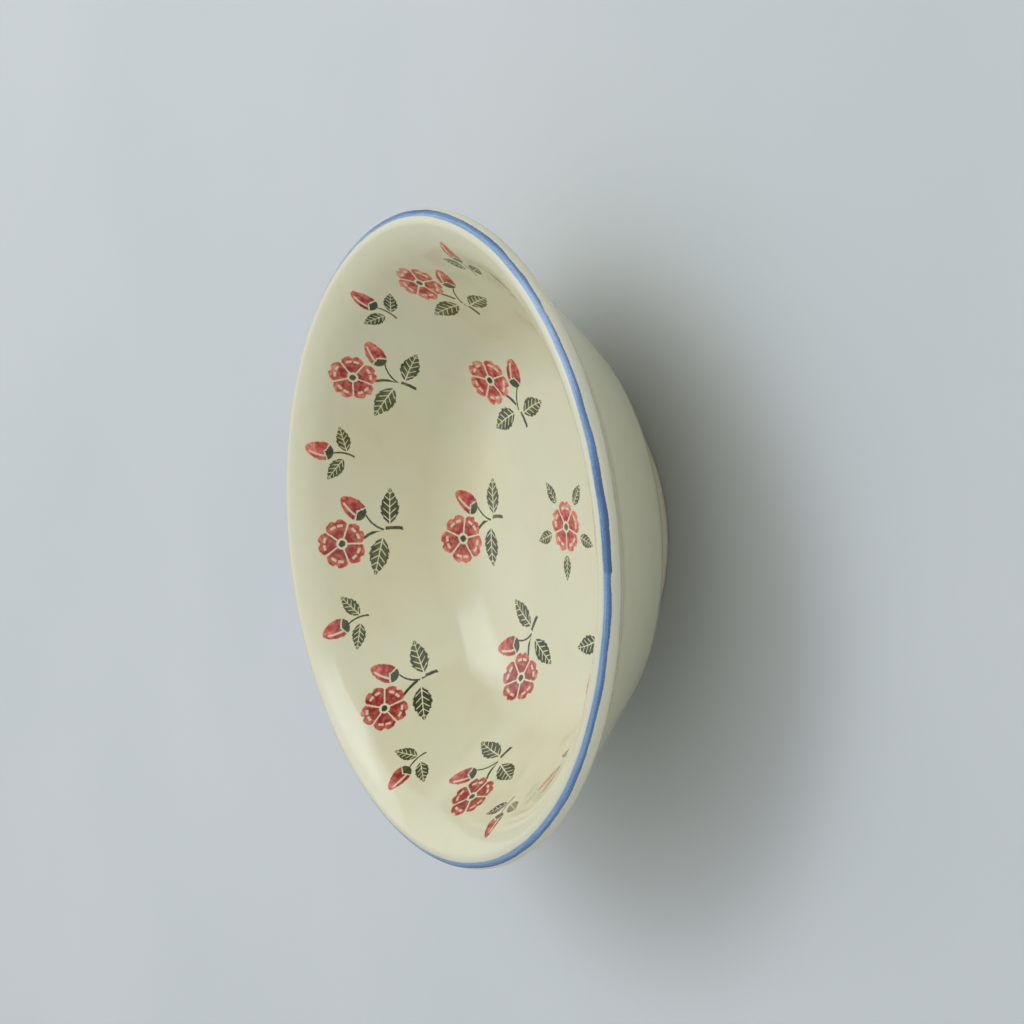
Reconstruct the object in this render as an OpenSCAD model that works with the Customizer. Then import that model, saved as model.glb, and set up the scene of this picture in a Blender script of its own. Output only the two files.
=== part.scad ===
// Porridge bowl: a round earthenware bowl with a flared lip and a low foot ring,
// coated with cream glaze and banded in blue on the lip.
// Millimetres. The bowl stands on its foot ring at z = 0 and its axis is z.

/* [Bowl] */
// Diameter across the lip, over the glaze
rim_d = 170; // [140:1:200]
// Height from the standing edge to the crest of the lip, over the glaze
bowl_h = 50; // [40:0.5:70]
// Thickness of the clay at the foot of the wall
wall_t = 4; // [3:0.1:6]
// How far the wall bows out between the lip and the base
wall_bow = 0.3; // [0.1:0.1:2]
// Diameter at which the wall turns in to the base
hip_d = 109; // [90:1:130]
// Radius of that turn, outside
hip_r = 26; // [10:1:40]
// Slope of the base between the turn and the foot, in degrees
base_angle = 27.5; // [20:0.5:34]

/* [Inside] */
// Thickness of the clay at the middle of the floor
floor_t = 5; // [3.5:0.1:8]
// Radius of the dished floor
floor_r = 260; // [180:10:500]
// Radius of the turn from the floor to the wall, inside
well_r = 27; // [18:1:40]

/* [Lip] */
// Depth from the crest to the crease under the flared lip
lip_h = 9; // [7:0.1:13]
// How much flatter the lip's outer side is than the wall, in degrees
lip_flare = 11.5; // [6:0.5:16]
// Radius of the clay at the crest
crest_r = 2.5; // [1.8:0.1:3.5]
// Radius of the softer roll from the crest down to the inner wall
roll_r = 18; // [8:0.5:24]
// How far past the top the roll takes over from the crest, in degrees
roll_over = 22; // [15:1:30]
// Radius of the clay at the outer edge
edge_r = 1.9; // [1.2:0.1:2.6]
// Width of the bevel between the crest and the outer edge
bevel_w = 0.9; // [0.4:0.1:2]
// Slope of the bevel, in degrees
bevel_slope = 32; // [15:1:45]
// Radius of the crease
crease_r = 5; // [2:0.5:9]

/* [Foot] */
// Outside diameter of the foot ring, in the clay
foot_d = 71.6; // [56:0.2:90]
// Width of the foot ring
foot_w = 4.2; // [3:0.1:8]
// Height at which the base meets the foot ring
foot_h = 4.3; // [3.6:0.1:8]
// Radius of the cove between the base and the foot ring
foot_cove_r = 2; // [1:0.1:3]
// Radius of the two edges the bowl stands on
foot_edge_r = 0.8; // [0.4:0.1:1.2]
// Depth of the hollow under the bowl, in the clay
recess_h = 3.6; // [2.6:0.1:5]
// Radius of the cove inside the foot ring
recess_cove_r = 1.4; // [0.8:0.1:2]

/* [Glaze] */
// Thickness of the glaze and of the band
glaze_t = 0.3; // [0.2:0.05:0.6]
// Width of the bare clay above each standing edge
bare_w = 0.5; // [0.2:0.1:0.9]
// How far the band reaches over the crest, in degrees of the crest's curve
band_over = 8; // [2:1:40]
// How far above the widest line the band ends, in degrees of the outer edge's curve
band_end = 25; // [0:1:40]

/* [Hidden] */
$fn = 144;
// Largest distance from a curve of the section to its chords
chord_err = 0.008;
// Largest share of a straight stretch that the curve at one end of it may use
curve_share = 0.45;

// Directions and places in the plane of the section, [r, z]
function unit(a) = [cos(a), sin(a)];
function heading(v) = atan2(v[1], v[0]);

// Directions down, and out from, the outside of a cone that slopes by a
function down(a) = [-cos(a), -sin(a)];
function out(a) = [sin(a), -cos(a)];

// Place on the line from p along t where it leaves the circle of radius r about c
function leave(p, t, c, r) =
    let (b = (p - c) * t)
    let (k = (p - c) * (p - c) - r * r)
    p + t * (sqrt(b * b - k) - b);

// Right-hand meeting place of two circles, looking from the first centre to the second
function meet(c1, r1, c2, r2) =
    let (d = norm(c2 - c1))
    let (e = (c2 - c1) / d)
    let (x = (d * d + r1 * r1 - r2 * r2) / (2 * d))
    c1 + x * e + sqrt(r1 * r1 - x * x) * [e[1], -e[0]];

// A station is a place on the clay and the direction out of the clay there.
// An arc's side is 1 where the clay lies within the arc and -1 where it lies around it.
function steps(r, sweep) = max(2, ceil(abs(sweep) / (2 * acos(1 - chord_err / r))));
function arc(c, r, a0, a1, side) =
    let (n = steps(r, a1 - a0))
    [for (i = [0 : n]) let (u = unit(a0 + (a1 - a0) * i / n)) [c + r * u, side * u]];
function after_first(list) = [for (i = [1 : len(list) - 1]) list[i]];

// The clay's own limits, inside the glaze
rim_r = rim_d / 2 - glaze_t;
top_z = bowl_h - glaze_t;
foot_r = foot_d / 2;
foot_in = foot_r - foot_w;

// Base: a straight slope from the foot ring to the hip
foot_top = [foot_r, foot_h];
base_run = (hip_d / 2 - foot_r) / cos(base_angle);
hip = foot_top - base_run * down(base_angle);

// Lip: a round crest and a round outer edge with a bevel between them
bevel_a = 90 - bevel_slope;
crest_to_edge = (crest_r - edge_r) * unit(bevel_a) + bevel_w * unit(-bevel_slope);
crest_c = [rim_r - edge_r - crest_to_edge[0], top_z - crest_r];
edge_c = crest_c + crest_to_edge;
lip_angle = heading(edge_c - hip) - lip_flare;
lip_start = edge_c + edge_r * out(lip_angle);
lip_end = lip_start + down(lip_angle) * (lip_start[1] - top_z + lip_h) / sin(lip_angle);

// Roll: a larger curve that goes on from the crest into the bowl
roll_a = 90 + roll_over;
roll_c = crest_c - (roll_r - crest_r) * unit(roll_a);

// Wall: one large arc outside, from the lip to the hip, and its fellow inside, from the roll
wall_half = norm(hip - lip_end) / 2;
wall_r = (wall_half * wall_half + wall_bow * wall_bow) / (2 * wall_bow);
wall_lean = heading(lip_end - hip);
wall_c = (lip_end + hip) / 2 - (wall_r - wall_bow) * out(wall_lean);
inner_r = wall_r - wall_t;
inner_low = wall_c + inner_r * unit(heading(hip - wall_c));
inner_c = meet(roll_c, inner_r + roll_r, inner_low, inner_r);

// Floor, and the turn from it to the wall
floor_c = [0, recess_h + floor_t + floor_r];
well_c = meet(inner_c, inner_r - well_r, floor_c, floor_r - well_r);

// Turns between the stretches of the outside
hip_turn = min(hip_r, curve_share * base_run / tan((wall_lean - base_angle) / 2));
hip_c = leave(foot_top - hip_turn * out(base_angle), -down(base_angle), wall_c, wall_r - hip_turn);
crease_c = leave(lip_end + crease_r * out(lip_angle), -down(lip_angle), wall_c, wall_r + crease_r);
foot_cove = min(foot_cove_r, curve_share * min(base_run, foot_h) / tan((90 - base_angle) / 2));
foot_cove_run = foot_cove * tan((90 - base_angle) / 2);
foot_cove_c = foot_top - foot_cove_run * down(base_angle) + foot_cove * out(base_angle);

// Foot ring: two rounded standing edges, a cove behind, and the lines where the glaze stops
foot_edge = min(foot_edge_r, curve_share * foot_w);
glaze_z = foot_edge + bare_w;
recess_cove = min(recess_cove_r, curve_share * 2 * (recess_h - glaze_z));
stand_out_c = [foot_r - foot_edge, foot_edge];
stand_in_c = [foot_in + foot_edge, foot_edge];
recess_cove_c = [foot_in - recess_cove, recess_h - recess_cove];

// Curves of the section, in order
floor_arc = arc(floor_c, floor_r, -90, heading(well_c - floor_c), -1);
well_arc = arc(well_c, well_r, heading(well_c - floor_c), heading(well_c - inner_c), -1);
inner_arc = arc(inner_c, inner_r, heading(well_c - inner_c), heading(roll_c - inner_c), -1);
roll_arc = arc(roll_c, roll_r, heading(inner_c - roll_c), roll_a, 1);
crest_arc = arc(crest_c, crest_r, roll_a, bevel_a + band_over, 1);
band_in_arc = arc(crest_c, crest_r, bevel_a + band_over, bevel_a, 1);
band_out_arc = arc(edge_c, edge_r, bevel_a, band_end, 1);
edge_arc = arc(edge_c, edge_r, band_end, lip_angle - 90, 1);
crease_arc = arc(crease_c, crease_r, lip_angle + 90, heading(wall_c - crease_c), -1);
wall_arc = arc(wall_c, wall_r, heading(crease_c - wall_c), heading(hip_c - wall_c), 1);
hip_arc = arc(hip_c, hip_turn, heading(hip_c - wall_c), base_angle - 90, 1);
foot_cove_arc = arc(foot_cove_c, foot_cove, base_angle + 90, 180, -1);
stand_out_arc = arc(stand_out_c, foot_edge, 0, -90, 1);
stand_in_arc = arc(stand_in_c, foot_edge, -90, -180, 1);
recess_arc = arc(recess_cove_c, recess_cove, 0, 90, -1);

// The section from the middle of the floor, over the lip, down the outside and in under the foot
inside_up = concat(floor_arc, after_first(well_arc), after_first(inner_arc));
inside = concat(inside_up, after_first(roll_arc), after_first(crest_arc));
band = concat(band_in_arc, band_out_arc);
lip_side = concat(edge_arc, crease_arc);
wall_side = concat(after_first(wall_arc), after_first(hip_arc), foot_cove_arc);
outside = concat(lip_side, wall_side, [[[foot_r, glaze_z], [1, 0]]]);
stand = concat(stand_out_arc, stand_in_arc);
underside = concat([[[foot_in, glaze_z], [-1, 0]]], recess_arc, [[[0, recess_h], [0, -1]]]);
section = concat(inside, after_first(band), after_first(outside), stand, underside);

// A coat of glaze over a strip of the section
module coat(strip) {
    clay_side = [for (s = strip) s[0]];
    skin_side = [for (i = [len(strip) - 1 : -1 : 0]) strip[i][0] + glaze_t * strip[i][1]];
    rotate_extrude() polygon(concat(clay_side, skin_side));
}

// Fired clay: floor, wall, lip and foot ring
module clay_body() {
    color([0.80, 0.70, 0.56]) rotate_extrude() polygon([for (s = section) s[0]]);
}

// Cream glaze from the middle of the floor up to the band
module inside_glaze() {
    color([0.90, 0.87, 0.73]) coat(inside);
}

// Cream glaze from the band down to the bare edge of the foot ring
module outside_glaze() {
    color([0.88, 0.86, 0.73]) coat(outside);
}

// Cream glaze in the hollow of the foot ring
module underside_glaze() {
    color([0.87, 0.85, 0.72]) coat(underside);
}

// Blue band over the bevel of the lip
module rim_band() {
    color([0.42, 0.53, 0.66]) coat(band);
}

clay_body();
inside_glaze();
outside_glaze();
underside_glaze();
rim_band();
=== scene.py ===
"""Looks of a porridge bowl: cream glaze on fired clay, a blue band and printed sprigs inside.

Lengths are metres and angles degrees, unless a name says otherwise. The bowl stands on its foot
ring at z = 0 and its axis is z. The section is worked out from the sizes of the part, each coat
of glaze is the skin of a stretch of that section carried round the axis, and every finish is made
of shader nodes.
"""

import logging
import math
from dataclasses import dataclass, field
from enum import Enum

import bpy
import numpy as np
from mathutils import Matrix, Vector


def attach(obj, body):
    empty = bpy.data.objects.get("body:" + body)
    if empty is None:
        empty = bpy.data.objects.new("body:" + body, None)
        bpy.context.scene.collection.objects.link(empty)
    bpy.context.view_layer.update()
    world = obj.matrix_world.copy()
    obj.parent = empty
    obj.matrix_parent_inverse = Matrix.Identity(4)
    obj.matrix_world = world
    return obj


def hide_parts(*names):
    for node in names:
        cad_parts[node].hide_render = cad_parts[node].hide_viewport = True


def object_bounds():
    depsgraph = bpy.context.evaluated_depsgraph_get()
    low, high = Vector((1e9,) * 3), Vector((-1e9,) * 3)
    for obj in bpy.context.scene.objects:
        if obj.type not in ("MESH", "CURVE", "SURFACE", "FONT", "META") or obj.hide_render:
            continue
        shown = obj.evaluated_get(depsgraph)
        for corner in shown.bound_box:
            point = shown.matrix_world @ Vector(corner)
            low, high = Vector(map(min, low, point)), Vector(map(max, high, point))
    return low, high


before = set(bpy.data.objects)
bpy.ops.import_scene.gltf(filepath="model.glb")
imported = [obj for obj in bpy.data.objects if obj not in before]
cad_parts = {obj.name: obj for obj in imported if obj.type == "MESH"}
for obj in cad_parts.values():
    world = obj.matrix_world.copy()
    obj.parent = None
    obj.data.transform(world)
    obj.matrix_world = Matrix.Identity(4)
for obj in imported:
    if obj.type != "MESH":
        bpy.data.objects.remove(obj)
CAD_LOW, CAD_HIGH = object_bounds()

log = logging.getLogger("porridge_bowl")
BODY = "root"
MM = 0.001

COLUMNS = 320  # steps of every piece round the axis
ROW_STEP = 1.3 * MM  # longest step along the section
ROW_TURN = 5.0  # largest turn between two steps
ARC_STEPS = 3  # fewest steps of an arc
CONVEX, HOLLOW = 1, -1  # whether the clay lies within an arc or around it
ON_AXIS = 1e-9  # a smaller radius counts as on the axis
SHARP = 40.0  # two faces that meet at a larger angle have a sharp edge between them

FLAT_MAP = "OFBake"  # name of a piece's flat map
FLAT_MIDDLE = 0.5  # middle of the skin's disc in it
FLAT_LARGE = 0.495  # radius of the skin's disc
FLAT_SMALL = 0.06  # radius of the hidden side's disc
FLAT_RING = 1.12  # outer radius of the ring round that disc, in radii of the disc
FLAT_GAP = 0.003  # gap between the ring and the map's edges

MIX_FIRST, MIX_SECOND, MIX_RESULT = 6, 7, 2  # the Mix node's sockets for colours
ROSETTE_LEAVES = 5  # leaves round the blossom in the middle of the floor

Colour = tuple[float, float, float, float]


def srgb(red: int, green: int, blue: int) -> Colour:
    """Turns a colour as a screen shows it into the linear light that shaders use.

    Args:
        red: Red, 0 to 255.
        green: Green, 0 to 255.
        blue: Blue, 0 to 255.

    Returns:
        The linear colour with full opacity.
    """
    shown = np.array((red, green, blue)) / 255
    light = np.where(shown > 0.04045, ((shown + 0.055) / 1.055) ** 2.4, shown / 12.92)
    return (*(float(v) for v in light), 1.0)


# ---------------------------------------------------------------------------
# The section
# ---------------------------------------------------------------------------


def unit(angle: float | np.ndarray) -> np.ndarray:
    """Direction in the plane of the section, [r, z], at an angle from r towards z."""
    turned = np.radians(angle)
    return np.stack([np.cos(turned), np.sin(turned)], -1)


def heading(way: np.ndarray) -> float:
    """Angle of a direction in the plane of the section."""
    return math.degrees(math.atan2(way[1], way[0]))


def tangent(angle: float) -> float:
    """Tangent of an angle in degrees."""
    return math.tan(math.radians(angle))


def leave(start: np.ndarray, way: np.ndarray, centre: np.ndarray, radius: float) -> np.ndarray:
    """Place where a line leaves a circle: the farther root of |start + way * t - centre| = radius.

    Args:
        start: A place on the line.
        way: The line's direction, of length 1.
        centre: The circle's centre.
        radius: The circle's radius.

    Returns:
        The place on the circle.
    """
    along = (start - centre) @ way
    beyond = (start - centre) @ (start - centre) - radius**2
    return start + way * (math.sqrt(along**2 - beyond) - along)


def meet(
    centre_1: np.ndarray, radius_1: float, centre_2: np.ndarray, radius_2: float
) -> np.ndarray:
    """Right-hand meeting place of two circles, looking from the first centre to the second.

    Args:
        centre_1: Centre of the first circle.
        radius_1: Radius of the first circle.
        centre_2: Centre of the second circle.
        radius_2: Radius of the second circle.

    Returns:
        The place on both circles.
    """
    apart = float(np.linalg.norm(centre_2 - centre_1))
    way = (centre_2 - centre_1) / apart
    along = (apart**2 + radius_1**2 - radius_2**2) / (2 * apart)
    return centre_1 + along * way + math.sqrt(radius_1**2 - along**2) * np.array([way[1], -way[0]])


@dataclass(frozen=True)
class Strip:
    """A stretch of the section, station by station.

    Attributes:
        at: Places on the clay, (n, 2).
        out: Directions out of the clay, (n, 2).
        bend: Curvature of the clay, (n,), positive where it is convex.
    """

    at: np.ndarray
    out: np.ndarray
    bend: np.ndarray

    @classmethod
    def arc(cls, centre: np.ndarray, radius: float, start: float, end: float, side: int) -> "Strip":
        """A circle's arc: the centre plus the radius times a direction that turns evenly.

        Args:
            centre: The circle's centre.
            radius: The circle's radius.
            start: Angle of the first station.
            end: Angle of the last station.
            side: CONVEX or HOLLOW.

        Returns:
            The strip.
        """
        sweep = abs(end - start)
        by_length = math.ceil(radius * math.radians(sweep) / ROW_STEP)
        steps = max(ARC_STEPS, by_length, math.ceil(sweep / ROW_TURN))
        ways = unit(np.linspace(start, end, steps + 1))
        return cls(centre + radius * ways, side * ways, np.full(steps + 1, side / radius))

    @classmethod
    def line(cls, start: np.ndarray, end: np.ndarray, out: np.ndarray) -> "Strip":
        """A straight stretch: a blend from start to end with one direction out.

        Args:
            start: The first station's place.
            end: The last station's place.
            out: Direction out of the clay.

        Returns:
            The strip.
        """
        steps = max(1, math.ceil(float(np.linalg.norm(end - start)) / ROW_STEP))
        share = np.linspace(0, 1, steps + 1)[:, None]
        at = start + (end - start) * share
        return cls(at, np.repeat(out[None], steps + 1, 0), np.zeros(steps + 1))

    @classmethod
    def joined(cls, *strips: "Strip") -> "Strip":
        """One strip of several, each of which starts where the one before it ends.

        Args:
            *strips: The strips in order.

        Returns:
            The whole strip, with each shared station once.
        """
        first, rest = strips[0], strips[1:]
        return cls(
            np.concatenate([first.at, *(s.at[1:] for s in rest)]),
            np.concatenate([first.out, *(s.out[1:] for s in rest)]),
            np.concatenate([first.bend, *(s.bend[1:] for s in rest)]),
        )

    def cut(self, first: int, last: int) -> "Strip":
        """The stations from first to last, both included."""
        return Strip(*(values[first : last + 1] for values in (self.at, self.out, self.bend)))

    def run(self, lift: float = 0.0) -> np.ndarray:
        """Length along the strip from its first station to each, at a height above the clay."""
        steps = np.diff(self.at + lift * self.out, axis=0)
        return np.concatenate([[0.0], np.cumsum(np.linalg.norm(steps, axis=1))])

    def softened(self, reach: float) -> "Strip":
        """The strip with its curvature averaged along it, weighted by a bell curve.

        Args:
            reach: Standard deviation of the bell curve.

        Returns:
            The strip with the softer curvature.
        """
        run = self.run()
        weight = np.exp(-(((run[:, None] - run[None]) / reach) ** 2) / 2) * np.gradient(run)[None]
        return Strip(self.at, self.out, weight @ self.bend / weight.sum(1))


@dataclass
class Section:
    """The bowl's section, from the middle of the floor over the lip and in under the foot.

    The sizes are those of the part: the clay's own, except that the rim's diameter and the height
    include the glaze. Only the strip of the band is a little wider here, so that its brushed edges
    can wander within it.

    Attributes:
        rim_d: Diameter across the lip, over the glaze.
        bowl_h: Height from the standing edge to the crest, over the glaze.
        wall_t: Thickness of the clay at the foot of the wall.
        wall_bow: How far the wall bows out between the lip and the base.
        hip_d: Diameter at which the wall turns in to the base.
        hip_r: Radius of that turn, outside.
        base_angle: Slope of the base between the turn and the foot.
        floor_t: Thickness of the clay at the middle of the floor.
        floor_r: Radius of the dished floor.
        well_r: Radius of the turn from the floor to the wall, inside.
        lip_h: Depth from the crest to the crease under the flared lip.
        lip_flare: How much flatter the lip's outer side is than the wall.
        crest_r: Radius of the clay at the crest.
        roll_r: Radius of the softer roll from the crest down to the inner wall.
        roll_over: How far past the top the roll takes over from the crest.
        edge_r: Radius of the clay at the outer edge.
        bevel_w: Width of the bevel between the crest and the outer edge.
        bevel_slope: Slope of the bevel.
        crease_r: Radius of the crease.
        foot_d: Outside diameter of the foot ring.
        foot_w: Width of the foot ring.
        foot_h: Height at which the base meets the foot ring.
        foot_cove_r: Radius of the cove between the base and the foot ring.
        foot_edge_r: Radius of the two edges that the bowl stands on.
        recess_h: Depth of the hollow under the bowl.
        recess_cove_r: Radius of the cove inside the foot ring.
        glaze_t: Thickness of the glaze and of the band.
        bare_w: Width of the bare clay above each standing edge.
        band_over: How far the band's strip reaches over the crest, in degrees of its curve.
        band_end: How far above the widest line it ends, in degrees of the outer edge's curve.
        curve_share: Largest share of a straight stretch that the curve at its end may use.
        soften: Reach over which the curvature is averaged.
        whole: The whole section.
        inside: The stretch under the inside coat.
        band: The stretch under the band.
        outside: The stretch under the outside coat.
        underside: The stretch under the underside's coat.
    """

    rim_d: float = CAD_HIGH.x - CAD_LOW.x
    bowl_h: float = CAD_HIGH.z - CAD_LOW.z
    wall_t: float = 4 * MM
    wall_bow: float = 0.3 * MM
    hip_d: float = 109 * MM
    hip_r: float = 26 * MM
    base_angle: float = 27.5
    floor_t: float = 5 * MM
    floor_r: float = 260 * MM
    well_r: float = 27 * MM
    lip_h: float = 9 * MM
    lip_flare: float = 11.5
    crest_r: float = 2.5 * MM
    roll_r: float = 18 * MM
    roll_over: float = 22.0
    edge_r: float = 1.9 * MM
    bevel_w: float = 0.9 * MM
    bevel_slope: float = 32.0
    crease_r: float = 5 * MM
    foot_d: float = 71.6 * MM
    foot_w: float = 4.2 * MM
    foot_h: float = 4.3 * MM
    foot_cove_r: float = 2 * MM
    foot_edge_r: float = 0.8 * MM
    recess_h: float = 3.6 * MM
    recess_cove_r: float = 1.4 * MM
    glaze_t: float = 0.3 * MM
    bare_w: float = 0.5 * MM
    band_over: float = 16.0
    band_end: float = 12.0
    curve_share: float = 0.45
    soften: float = 0.9 * MM
    whole: Strip = field(init=False)
    inside: Strip = field(init=False)
    band: Strip = field(init=False)
    outside: Strip = field(init=False)
    underside: Strip = field(init=False)

    def __post_init__(self) -> None:
        """Joins the stretches into the whole section and cuts each coat's strip from it."""
        above = (self._inside(), self._band(), self._outside())
        stretches = (*above, self._stand(), self._underside())
        self.whole = Strip.joined(*stretches).softened(self.soften)
        ends = np.cumsum([len(s.bend) - 1 for s in stretches])
        starts = np.concatenate([[0], ends[:-1]])
        cuts = [self.whole.cut(int(a), int(b)) for a, b in zip(starts, ends)]
        self.inside, self.band, self.outside, _, self.underside = cuts

    @property
    def foot_r(self) -> float:
        """Outer radius of the foot ring."""
        return self.foot_d / 2

    @property
    def glaze_z(self) -> float:
        """Height at which the glaze stops on the foot ring."""
        return self.foot_edge_r + self.bare_w

    @property
    def base_run(self) -> float:
        """Length of the base's slope from the foot ring to the hip."""
        return (self.hip_d / 2 - self.foot_r) / math.cos(math.radians(self.base_angle))

    @property
    def foot_top(self) -> np.ndarray:
        """Place where the slope of the base meets the side of the foot ring."""
        return np.array([self.foot_r, self.foot_h])

    @property
    def hip(self) -> np.ndarray:
        """Corner between the wall's chord and the slope of the base."""
        return self.foot_top + self.base_run * unit(self.base_angle)

    @property
    def bevel_a(self) -> float:
        """Direction out of the bevel."""
        return 90 - self.bevel_slope

    @property
    def crest_c(self) -> np.ndarray:
        """Centre of the crest's curve, below the bowl's top and within its widest line.

        Returns:
            The place.
        """
        rim_r = self.rim_d / 2 - self.glaze_t
        top_z = self.bowl_h - self.glaze_t
        return np.array([rim_r - self.edge_r - self._crest_to_edge[0], top_z - self.crest_r])

    @property
    def edge_c(self) -> np.ndarray:
        """Centre of the outer edge's curve."""
        return self.crest_c + self._crest_to_edge

    @property
    def _crest_to_edge(self) -> np.ndarray:
        """Step from the crest's centre to the outer edge's, with the bevel a tangent to both."""
        across = (self.crest_r - self.edge_r) * unit(self.bevel_a)
        return across + self.bevel_w * unit(-self.bevel_slope)

    @property
    def lip_angle(self) -> float:
        """Slope of the lip's outer side."""
        return heading(self.edge_c - self.hip) - self.lip_flare

    @property
    def lip_end(self) -> np.ndarray:
        """Corner between the lip's outer side and the wall's chord, at the depth of the lip.

        Returns:
            The place.
        """
        start = self.edge_c + self.edge_r * unit(self.lip_angle - 90)
        drop = start[1] - (self.bowl_h - self.glaze_t - self.lip_h)
        return start - unit(self.lip_angle) * drop / math.sin(math.radians(self.lip_angle))

    @property
    def wall_r(self) -> float:
        """Radius of the wall's outer arc, from its chord and its bow."""
        half = float(np.linalg.norm(self.hip - self.lip_end)) / 2
        return (half**2 + self.wall_bow**2) / (2 * self.wall_bow)

    @property
    def wall_lean(self) -> float:
        """Slope of the wall's chord."""
        return heading(self.lip_end - self.hip)

    @property
    def wall_c(self) -> np.ndarray:
        """Centre of the wall's outer arc."""
        middle = (self.lip_end + self.hip) / 2
        return middle - (self.wall_r - self.wall_bow) * unit(self.wall_lean - 90)

    def _inside(self) -> Strip:
        """The floor, the turn to the wall, its inner arc, the roll, and the crest up to the band.

        Returns:
            The strip from the middle of the floor to the band.
        """
        inner_r = self.wall_r - self.wall_t
        inner_low = self.wall_c + inner_r * unit(heading(self.hip - self.wall_c))
        roll_a = 90 + self.roll_over
        roll_c = self.crest_c - (self.roll_r - self.crest_r) * unit(roll_a)
        inner_c = meet(roll_c, inner_r + self.roll_r, inner_low, inner_r)
        floor_c = np.array([0, self.recess_h + self.floor_t + self.floor_r])
        well_c = meet(inner_c, inner_r - self.well_r, floor_c, self.floor_r - self.well_r)
        floor_end, well_end = heading(well_c - floor_c), heading(well_c - inner_c)
        return Strip.joined(
            Strip.arc(floor_c, self.floor_r, -90, floor_end, HOLLOW),
            Strip.arc(well_c, self.well_r, floor_end, well_end, HOLLOW),
            Strip.arc(inner_c, inner_r, well_end, heading(roll_c - inner_c), HOLLOW),
            Strip.arc(roll_c, self.roll_r, heading(inner_c - roll_c), roll_a, CONVEX),
            Strip.arc(self.crest_c, self.crest_r, roll_a, self.bevel_a + self.band_over, CONVEX),
        )

    def _band(self) -> Strip:
        """The end of the crest, the bevel and the start of the outer edge, under the band.

        Returns:
            The strip of the band.
        """
        bevel = self.bevel_a
        crest = Strip.arc(self.crest_c, self.crest_r, bevel + self.band_over, bevel, CONVEX)
        edge = Strip.arc(self.edge_c, self.edge_r, bevel, self.band_end, CONVEX)
        return Strip.joined(crest, Strip.line(crest.at[-1], edge.at[0], unit(bevel)), edge)

    def _outside(self) -> Strip:
        """The lip's side, the crease, the wall, the hip, the base and the glazed side of the foot.

        Returns:
            The strip from the band to the end of the glaze on the foot.
        """
        base, lip = self.base_angle, self.lip_angle
        base_out, lip_out = unit(base - 90), unit(lip - 90)
        half_turn = tangent((self.wall_lean - base) / 2)
        hip_r = min(self.hip_r, self.curve_share * self.base_run / half_turn)
        hip_start = self.foot_top - hip_r * base_out
        hip_c = leave(hip_start, unit(base), self.wall_c, self.wall_r - hip_r)
        crease_start = self.lip_end + self.crease_r * lip_out
        crease_c = leave(crease_start, unit(lip), self.wall_c, self.wall_r + self.crease_r)
        cove_run = self.foot_cove_r * tangent((90 - base) / 2)
        cove_c = self.foot_top + cove_run * unit(base) + self.foot_cove_r * base_out
        crease_end = heading(self.wall_c - crease_c)
        wall_start, wall_end = heading(crease_c - self.wall_c), heading(hip_c - self.wall_c)
        bead = Strip.arc(self.edge_c, self.edge_r, self.band_end, lip - 90, CONVEX)
        crease = Strip.arc(crease_c, self.crease_r, lip + 90, crease_end, HOLLOW)
        wall = Strip.arc(self.wall_c, self.wall_r, wall_start, wall_end, CONVEX)
        hip = Strip.arc(hip_c, hip_r, wall_end, base - 90, CONVEX)
        cove = Strip.arc(cove_c, self.foot_cove_r, base + 90, 180, HOLLOW)
        return Strip.joined(
            bead,
            Strip.line(bead.at[-1], crease.at[0], lip_out),
            crease,
            wall,
            hip,
            Strip.line(hip.at[-1], cove.at[0], base_out),
            cove,
            Strip.line(cove.at[-1], np.array([self.foot_r, self.glaze_z]), unit(0)),
        )

    def _stand(self) -> Strip:
        """The bare foot: down its side, round the two standing edges and up inside.

        Returns:
            The strip from the outside glaze to the underside's.
        """
        foot_in, edge = self.foot_r - self.foot_w, self.foot_edge_r
        outer = Strip.arc(np.array([self.foot_r - edge, edge]), edge, 0, -90, CONVEX)
        inner = Strip.arc(np.array([foot_in + edge, edge]), edge, -90, -180, CONVEX)
        return Strip.joined(
            Strip.line(np.array([self.foot_r, self.glaze_z]), outer.at[0], unit(0)),
            outer,
            Strip.line(outer.at[-1], inner.at[0], unit(-90)),
            inner,
            Strip.line(inner.at[-1], np.array([foot_in, self.glaze_z]), unit(180)),
        )

    def _underside(self) -> Strip:
        """The hollow of the foot ring: up its side, round a cove and in to the axis.

        Returns:
            The strip from the end of the bare foot to the axis.
        """
        foot_in, cove_r = self.foot_r - self.foot_w, self.recess_cove_r
        cove_c = np.array([foot_in - cove_r, self.recess_h - cove_r])
        cove = Strip.arc(cove_c, cove_r, 0, 90, HOLLOW)
        return Strip.joined(
            Strip.line(np.array([foot_in, self.glaze_z]), cove.at[0], unit(180)),
            cove,
            Strip.line(cove.at[-1], np.array([0, self.recess_h]), unit(-90)),
        )


# ---------------------------------------------------------------------------
# Meshes
# ---------------------------------------------------------------------------


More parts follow.
